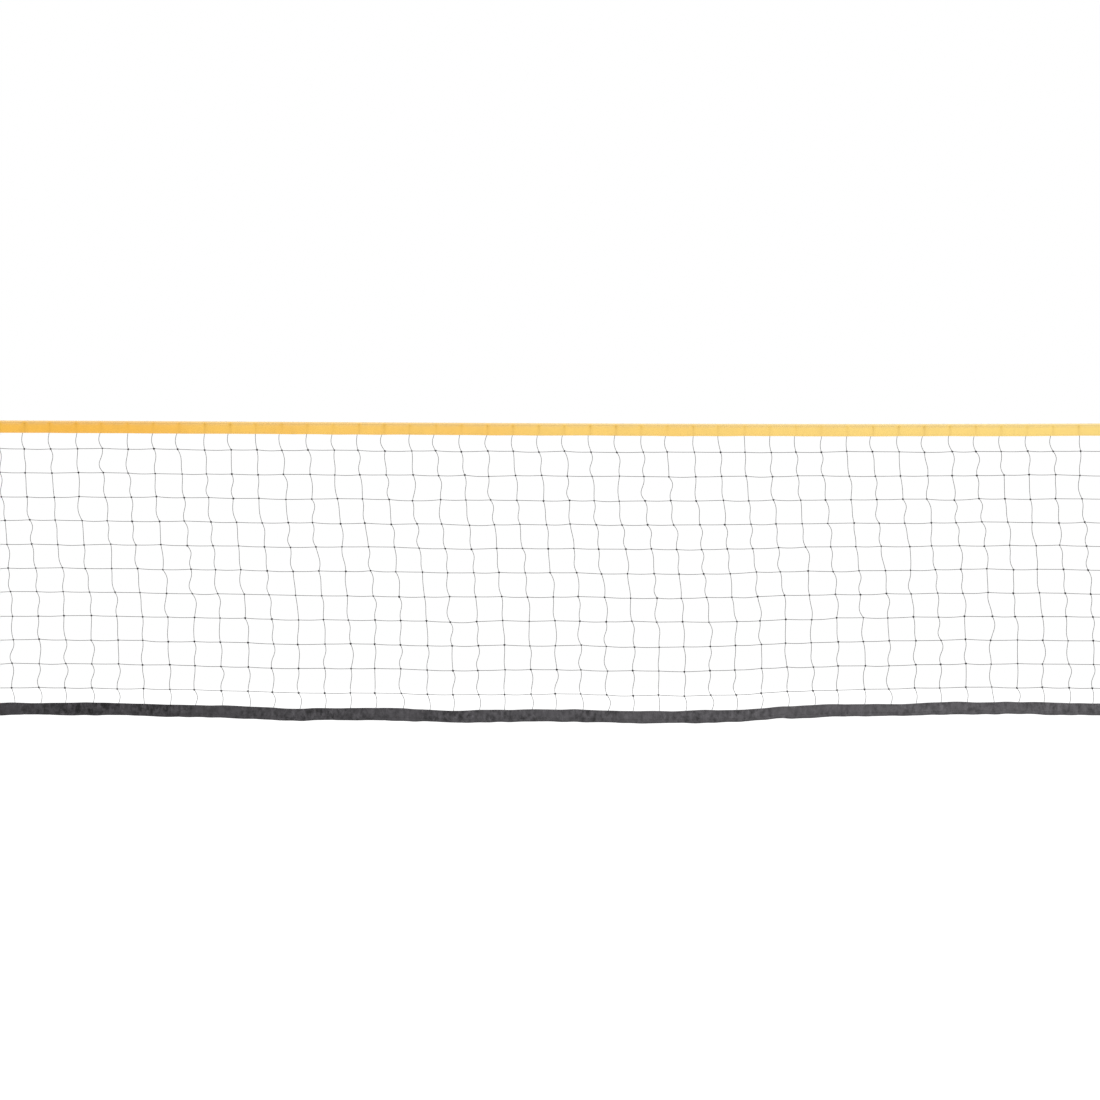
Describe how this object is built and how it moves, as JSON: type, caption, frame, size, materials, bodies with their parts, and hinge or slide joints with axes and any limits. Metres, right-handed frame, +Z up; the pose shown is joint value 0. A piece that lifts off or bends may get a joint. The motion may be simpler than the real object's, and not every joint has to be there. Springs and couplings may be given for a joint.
{
  "type": "volleyball net on poles",
  "caption": "Volleyball net with a yellow head tape and a dark foot tape, strung between free-standing telescopic poles on wheeled water tanks and tightened by a ratchet.",
  "frame": {"origin": "on the floor under the middle of the net, halfway between the poles", "axes": "+X along the net towards the pole with the ratchet, +Y away from the side with the clamp knobs, +Z up"},
  "size_m": [7.268, 0.643, 2.5051],
  "materials": {
    "head_cloth": "matte woven tape, sewn",
    "dark_cloth": "matte woven tape, slightly creased",
    "twine": "knotted polyethylene twine",
    "cord": "braided cord, inside the tapes",
    "webbing": "woven webbing",
    "dowel": "glass-fibre rod",
    "aluminium_tube": "satin anodised",
    "painted_tube": "powder coated",
    "zinc_steel": "zinc plated",
    "black_plastic": "moulded, fine grain",
    "tank": "blow-moulded, fine grain",
    "wheel": "moulded",
    "rubber": "moulded rubber"
  },
  "bodies": {
    "root": {"left_base_tank": "tank", "left_axle": "zinc_steel", "left_lower_tube": "painted_tube", "left_strut_collar": "zinc_steel", "left_front_strut": "painted_tube", "left_back_strut": "painted_tube", "left_clamp_collar": "black_plastic", "right_base_tank": "tank", "right_axle": "zinc_steel", "right_lower_tube": "painted_tube", "right_strut_collar": "zinc_steel", "right_front_strut": "painted_tube", "right_back_strut": "painted_tube", "right_clamp_collar": "black_plastic", "strut_bolts": "zinc_steel", "rubber_feet": "rubber"},
    "left_mast": {"left_upper_tube": "aluminium_tube", "left_top_cap": "black_plastic", "left_top_bracket": "zinc_steel", "left_bottom_bracket": "zinc_steel", "left_bracket_bolts": "zinc_steel", "top_tape": "head_cloth", "bottom_tape": "dark_cloth", "head_cord": "cord", "foot_cord": "cord", "netting": "twine", "left_side_band": "dark_cloth", "left_dowel": "dowel", "left_top_strap": "webbing", "left_bottom_strap": "webbing", "right_side_band": "dark_cloth", "right_dowel": "dowel", "right_top_strap": "webbing", "right_bottom_strap": "webbing"},
    "right_mast": {"right_upper_tube": "aluminium_tube", "right_top_cap": "black_plastic", "ratchet_frame": "zinc_steel", "right_bottom_bracket": "zinc_steel", "right_bracket_bolts": "zinc_steel", "pawl_pin": "zinc_steel"},
    "left_knob": {"left_clamp_knob": "black_plastic"},
    "right_knob": {"right_clamp_knob": "black_plastic"},
    "left_cap": {"left_filler_cap": "black_plastic"},
    "right_cap": {"right_filler_cap": "black_plastic"},
    "left_front_wheel": {"left_front_wheel": "wheel"},
    "left_back_wheel": {"left_back_wheel": "wheel"},
    "right_front_wheel": {"right_front_wheel": "wheel"},
    "right_back_wheel": {"right_back_wheel": "wheel"},
    "left_top_pin": {"left_top_pin": "zinc_steel"},
    "left_bottom_pin": {"left_bottom_pin": "zinc_steel"},
    "right_bottom_pin": {"right_bottom_pin": "zinc_steel"},
    "spindle": {"ratchet_spindle": "zinc_steel", "ratchet_wheel": "zinc_steel", "strap_roll": "webbing", "crank_arm": "zinc_steel"},
    "pawl": {"ratchet_pawl": "painted_tube"},
    "grip": {"crank_grip": "black_plastic"}
  },
  "joints": [
    {"name": "left_height", "type": "slide", "parent": "root", "child": "left_mast", "axis": [0, 0, 1], "range_m": [-0.43, 0]},
    {"name": "right_height", "type": "slide", "parent": "root", "child": "right_mast", "axis": [0, 0, 1], "range_m": [-0.43, 0]},
    {"name": "left_knob_turn", "type": "hinge", "parent": "root", "child": "left_knob", "pos_m": [-3.26233, 0, 0.9675], "axis": [0, 1, 0], "range_deg": [-360, 0]},
    {"name": "right_knob_turn", "type": "hinge", "parent": "root", "child": "right_knob", "pos_m": [3.26233, 0, 0.9675], "axis": [0, 1, 0], "range_deg": [-360, 0]},
    {"name": "left_cap_turn", "type": "hinge", "parent": "root", "child": "left_cap", "pos_m": [-3.3, 0.2, 0.17], "axis": [0, 0, 1], "range_deg": [0, 540]},
    {"name": "right_cap_turn", "type": "hinge", "parent": "root", "child": "right_cap", "pos_m": [3.3, 0.2, 0.17], "axis": [0, 0, 1], "range_deg": [0, 540]},
    {"name": "left_front_wheel_spin", "type": "hinge", "parent": "root", "child": "left_front_wheel", "pos_m": [-3.572, 0, 0.064], "axis": [0, 1, 0], "continuous": true},
    {"name": "left_back_wheel_spin", "type": "hinge", "parent": "root", "child": "left_back_wheel", "pos_m": [-3.572, 0, 0.064], "axis": [0, 1, 0], "continuous": true},
    {"name": "right_front_wheel_spin", "type": "hinge", "parent": "root", "child": "right_front_wheel", "pos_m": [3.572, 0, 0.064], "axis": [0, 1, 0], "continuous": true},
    {"name": "right_back_wheel_spin", "type": "hinge", "parent": "root", "child": "right_back_wheel", "pos_m": [3.572, 0, 0.064], "axis": [0, 1, 0], "continuous": true},
    {"name": "left_top_pin_pull", "type": "slide", "parent": "left_mast", "child": "left_top_pin", "axis": [0, 0, 1], "range_m": [0, 0.045]},
    {"name": "left_bottom_pin_pull", "type": "slide", "parent": "left_mast", "child": "left_bottom_pin", "axis": [0, 0, 1], "range_m": [0, 0.045]},
    {"name": "right_bottom_pin_pull", "type": "slide", "parent": "right_mast", "child": "right_bottom_pin", "axis": [0, 0, 1], "range_m": [0, 0.045]},
    {"name": "ratchet_turn", "type": "hinge", "parent": "right_mast", "child": "spindle", "pos_m": [3.125, 0, 2.409], "axis": [0, 0, 1], "continuous": true},
    {"name": "pawl_lift", "type": "hinge", "parent": "right_mast", "child": "pawl", "pos_m": [3.16, 0.018, 2.409], "axis": [0, 0, 1], "range_deg": [-22, 0], "stiffness_Nm_per_rad": 0.02},
    {"name": "grip_spin", "type": "hinge", "parent": "spindle", "child": "grip", "pos_m": [3.125, -0.11, 2.48], "axis": [0, 0, 1], "continuous": true}
  ],
  "couplings": [
    {"joint": "right_height", "follows": "left_height", "ratio": 1}
  ]
}
